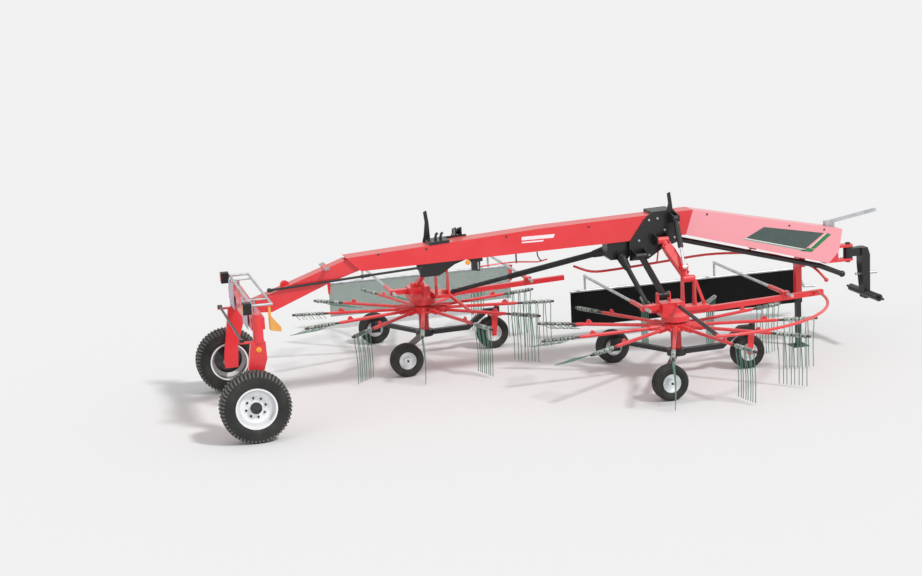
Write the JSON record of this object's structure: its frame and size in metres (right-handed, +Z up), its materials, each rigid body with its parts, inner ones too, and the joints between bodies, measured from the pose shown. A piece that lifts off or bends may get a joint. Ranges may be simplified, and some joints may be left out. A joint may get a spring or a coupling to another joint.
{
  "type": "twin rotor hay rake",
  "caption": "Trailed side-delivery hay rake: bent box beam, steered rear portal axle, rotors of tine arms on parallelogram arms, swath curtains, swivelling headstock.",
  "frame": {"origin": "on the ground, under the middle of the machine's box", "axes": "+X forward along the beam towards the headstock, +Y to the machine's left, +Z up"},
  "size_m": [8.1799, 6.0059, 2.095],
  "materials": {
    "red_paint": "gloss",
    "black_paint": "satin",
    "zinc_steel": "satin",
    "tine_steel": "satin",
    "tyre_rubber": "matte",
    "rim_paint": "gloss",
    "front_cloth": "matte",
    "rear_mesh": "matte",
    "lamp_plastic": "gloss",
    "board_plastic": "matte",
    "chock_plastic": "matte"
  },
  "bodies": {
    "chassis": {"main_beam": "red_paint", "cladding": "red_paint", "neck": "red_paint", "cross_beam": "red_paint", "lamp_frame": "zinc_steel", "lamps": "lamp_plastic", "marker_boards": "board_plastic", "wheel_chock": "chock_plastic", "drive_line": "black_paint", "arm_brackets": "black_paint", "hose_arm": "zinc_steel", "guard_rail": "red_paint"},
    "stand": {"stand_leg": "black_paint"},
    "headstock": {"headstock": "black_paint"},
    "pto": {"pto_stub": "zinc_steel"},
    "knuckle_left": {"knuckle_left": "red_paint"},
    "knuckle_right": {"knuckle_right": "red_paint"},
    "track_rod": {"track_rod": "black_paint"},
    "wheel_left": {"rim_left": "rim_paint", "tyre_left": "tyre_rubber"},
    "wheel_right": {"rim_right": "rim_paint", "tyre_right": "tyre_rubber"},
    "front_arm": {"front_arm": "red_paint"},
    "front_link": {"front_link": "black_paint"},
    "front_cylinder": {"front_cylinder": "black_paint"},
    "front_rod": {"front_rod": "zinc_steel"},
    "front_frame": {"front_carrier": "red_paint", "front_axle_frame": "black_paint"},
    "front_reel": {"front_rotor": "red_paint", "front_tines": "tine_steel"},
    "front_shaft": {"front_shaft": "black_paint"},
    "front_shaft_end": {"front_shaft_end": "black_paint"},
    "front_wheel_a": {"front_wheel_a": "tyre_rubber"},
    "front_wheel_b": {"front_wheel_b": "tyre_rubber"},
    "front_wheel_c": {"front_wheel_c": "tyre_rubber"},
    "front_castor": {"front_castor": "red_paint"},
    "front_curtain": {"front_curtain_frame": "zinc_steel", "front_curtain": "front_cloth"},
    "rear_arm": {"rear_arm": "red_paint"},
    "rear_link": {"rear_link": "black_paint"},
    "rear_cylinder": {"rear_cylinder": "black_paint"},
    "rear_rod": {"rear_rod": "zinc_steel"},
    "rear_frame": {"rear_carrier": "red_paint", "rear_axle_frame": "black_paint"},
    "rear_reel": {"rear_rotor": "red_paint", "rear_tines": "tine_steel"},
    "rear_shaft": {"rear_shaft": "black_paint"},
    "rear_shaft_end": {"rear_shaft_end": "black_paint"},
    "rear_wheel_a": {"rear_wheel_a": "tyre_rubber"},
    "rear_wheel_b": {"rear_wheel_b": "tyre_rubber"},
    "rear_wheel_c": {"rear_wheel_c": "tyre_rubber"},
    "rear_castor": {"rear_castor": "red_paint"},
    "rear_curtain": {"rear_curtain_frame": "zinc_steel", "rear_curtain": "rear_mesh"}
  },
  "joints": [
    {"name": "stand_slide", "type": "slide", "parent": "chassis", "child": "stand", "axis": [0, 0, 1], "range_m": [0, 0.45]},
    {"name": "headstock_swivel", "type": "hinge", "parent": "chassis", "child": "headstock", "pos_m": [3.71, -0.744, 1.1], "axis": [0, 0, 1], "range_deg": [-55, 55]},
    {"name": "pto_spin", "type": "hinge", "parent": "headstock", "child": "pto", "pos_m": [3.95, -0.744, 0.86], "axis": [1, 0, 0], "continuous": true},
    {"name": "steer_left", "type": "hinge", "parent": "chassis", "child": "knuckle_left", "pos_m": [-3.6, 0.2115, 1.06], "axis": [0, 0, 1], "range_deg": [-25, 25]},
    {"name": "steer_right", "type": "hinge", "parent": "chassis", "child": "knuckle_right", "pos_m": [-3.6, -1.6995, 1.06], "axis": [0, 0, 1], "range_deg": [-25, 25]},
    {"name": "track_rod_pivot", "type": "hinge", "parent": "knuckle_left", "child": "track_rod", "pos_m": [-3.78, 0.2115, 1.06], "axis": [0, 0, 1], "range_deg": [-25, 25]},
    {"name": "wheel_left_spin", "type": "hinge", "parent": "knuckle_left", "child": "wheel_left", "pos_m": [-3.71, 0.391, 0.38], "axis": [0, 1, 0], "continuous": true},
    {"name": "wheel_right_spin", "type": "hinge", "parent": "knuckle_right", "child": "wheel_right", "pos_m": [-3.71, -1.879, 0.38], "axis": [0, 1, 0], "continuous": true},
    {"name": "front_lift", "type": "hinge", "parent": "chassis", "child": "front_arm", "pos_m": [1.24, -1.004, 1.56], "axis": [-1, 0, 0], "range_deg": [-2, 45]},
    {"name": "front_link_pivot", "type": "hinge", "parent": "chassis", "child": "front_link", "pos_m": [0.97, -1.004, 1.4], "axis": [-1, 0, 0], "range_deg": [-2, 45]},
    {"name": "front_level", "type": "hinge", "parent": "front_arm", "child": "front_frame", "pos_m": [1.46, -1.204, 1.12], "axis": [-1, 0, 0], "range_deg": [-45, 2]},
    {"name": "front_cylinder_pivot", "type": "hinge", "parent": "chassis", "child": "front_cylinder", "pos_m": [1.405, -1.004, 1.8], "axis": [-1, 0, 0], "range_deg": [-1.48, 29.08]},
    {"name": "front_rod_slide", "type": "slide", "parent": "front_cylinder", "child": "front_rod", "axis": [0, -0.4086, -0.9127], "range_m": [-0.1092, 0.0068]},
    {"name": "front_shaft_swing", "type": "hinge", "parent": "chassis", "child": "front_shaft", "pos_m": [0.76, -0.9003, 1.4], "axis": [-0.9224, -0.2821, -0.2636], "range_deg": [-1.61, 31.88]},
    {"name": "front_shaft_slide", "type": "slide", "parent": "front_shaft", "child": "front_shaft_end", "axis": [0.3551, -0.3518, -0.8661], "range_m": [-0.0427, 0.0038]},
    {"name": "front_reel_spin", "type": "hinge", "parent": "front_frame", "child": "front_reel", "pos_m": [1.268, -1.266, 0.6], "axis": [0, 0, 1], "continuous": true},
    {"name": "front_wheel_a_spin", "type": "hinge", "parent": "front_frame", "child": "front_wheel_a", "pos_m": [0.818, -2.216, 0.2], "axis": [0, 1, 0], "continuous": true},
    {"name": "front_castor_swivel", "type": "hinge", "parent": "front_frame", "child": "front_castor", "pos_m": [2.218, -1.266, 0.48], "axis": [0, 0, 1], "range_deg": [-60, 60]},
    {"name": "front_wheel_b_spin", "type": "hinge", "parent": "front_castor", "child": "front_wheel_b", "pos_m": [2.148, -1.266, 0.2], "axis": [0, 1, 0], "continuous": true},
    {"name": "front_wheel_c_spin", "type": "hinge", "parent": "front_frame", "child": "front_wheel_c", "pos_m": [0.818, -0.316, 0.2], "axis": [0, 1, 0], "continuous": true},
    {"name": "front_curtain_slide", "type": "slide", "parent": "front_frame", "child": "front_curtain", "axis": [0, 1, 0], "range_m": [-0.3, 0.35]},
    {"name": "rear_lift", "type": "hinge", "parent": "chassis", "child": "rear_arm", "pos_m": [-1.198, -0.484, 1.56], "axis": [1, 0, 0], "range_deg": [-1, 24]},
    {"name": "rear_link_pivot", "type": "hinge", "parent": "chassis", "child": "rear_link", "pos_m": [-1.468, -0.484, 1.4], "axis": [1, 0, 0], "range_deg": [-1, 24]},
    {"name": "rear_level", "type": "hinge", "parent": "rear_arm", "child": "rear_frame", "pos_m": [-0.978, 0.816, 1.12], "axis": [1, 0, 0], "range_deg": [-24, 1]},
    {"name": "rear_cylinder_pivot", "type": "hinge", "parent": "chassis", "child": "rear_cylinder", "pos_m": [-1.088, -0.484, 1.8], "axis": [1, 0, 0], "range_deg": [-1.09, 21.5]},
    {"name": "rear_rod_slide", "type": "slide", "parent": "rear_cylinder", "child": "rear_rod", "axis": [0, 0.8791, -0.4766], "range_m": [-0.0958, 0.0059]},
    {"name": "rear_shaft_swing", "type": "hinge", "parent": "chassis", "child": "rear_shaft", "pos_m": [0.68, -0.5827, 1.42], "axis": [0.7059, 0.7035, -0.0826], "range_deg": [-0.83, 15.39]},
    {"name": "rear_shaft_slide", "type": "slide", "parent": "rear_shaft", "child": "rear_shaft_end", "axis": [-0.6944, 0.6643, -0.2765], "range_m": [-0.0377, 0.0035]},
    {"name": "rear_reel_spin", "type": "hinge", "parent": "rear_frame", "child": "rear_reel", "pos_m": [-1.17, 1.086, 0.6], "axis": [0, 0, 1], "continuous": true},
    {"name": "rear_wheel_a_spin", "type": "hinge", "parent": "rear_frame", "child": "rear_wheel_a", "pos_m": [-1.62, 0.136, 0.2], "axis": [0, 1, 0], "continuous": true},
    {"name": "rear_castor_swivel", "type": "hinge", "parent": "rear_frame", "child": "rear_castor", "pos_m": [-0.22, 1.086, 0.48], "axis": [0, 0, 1], "range_deg": [-60, 60]},
    {"name": "rear_wheel_b_spin", "type": "hinge", "parent": "rear_castor", "child": "rear_wheel_b", "pos_m": [-0.29, 1.086, 0.2], "axis": [0, 1, 0], "continuous": true},
    {"name": "rear_wheel_c_spin", "type": "hinge", "parent": "rear_frame", "child": "rear_wheel_c", "pos_m": [-1.62, 2.036, 0.2], "axis": [0, 1, 0], "continuous": true},
    {"name": "rear_curtain_slide", "type": "slide", "parent": "rear_frame", "child": "rear_curtain", "axis": [0, 1, 0], "range_m": [-0.2, 0.35]}
  ],
  "couplings": [
    {"joint": "steer_right", "follows": "steer_left", "ratio": 1},
    {"joint": "track_rod_pivot", "follows": "steer_left", "ratio": -1},
    {"joint": "front_link_pivot", "follows": "front_lift", "ratio": 1},
    {"joint": "front_level", "follows": "front_lift", "ratio": -1},
    {"joint": "front_cylinder_pivot", "follows": "front_lift", "ratio": 0.6417},
    {"joint": "front_rod_slide", "follows": "front_lift", "m_per_rad": -0.13647},
    {"joint": "front_shaft_swing", "follows": "front_lift", "ratio": 0.7039},
    {"joint": "front_shaft_slide", "follows": "front_lift", "m_per_rad": -0.05183},
    {"joint": "rear_link_pivot", "follows": "rear_lift", "ratio": 1},
    {"joint": "rear_level", "follows": "rear_lift", "ratio": -1},
    {"joint": "rear_cylinder_pivot", "follows": "rear_lift", "ratio": 0.8877},
    {"joint": "rear_rod_slide", "follows": "rear_lift", "m_per_rad": -0.22388},
    {"joint": "rear_shaft_swing", "follows": "rear_lift", "ratio": 0.6329},
    {"joint": "rear_shaft_slide", "follows": "rear_lift", "m_per_rad": -0.08514}
  ]
}
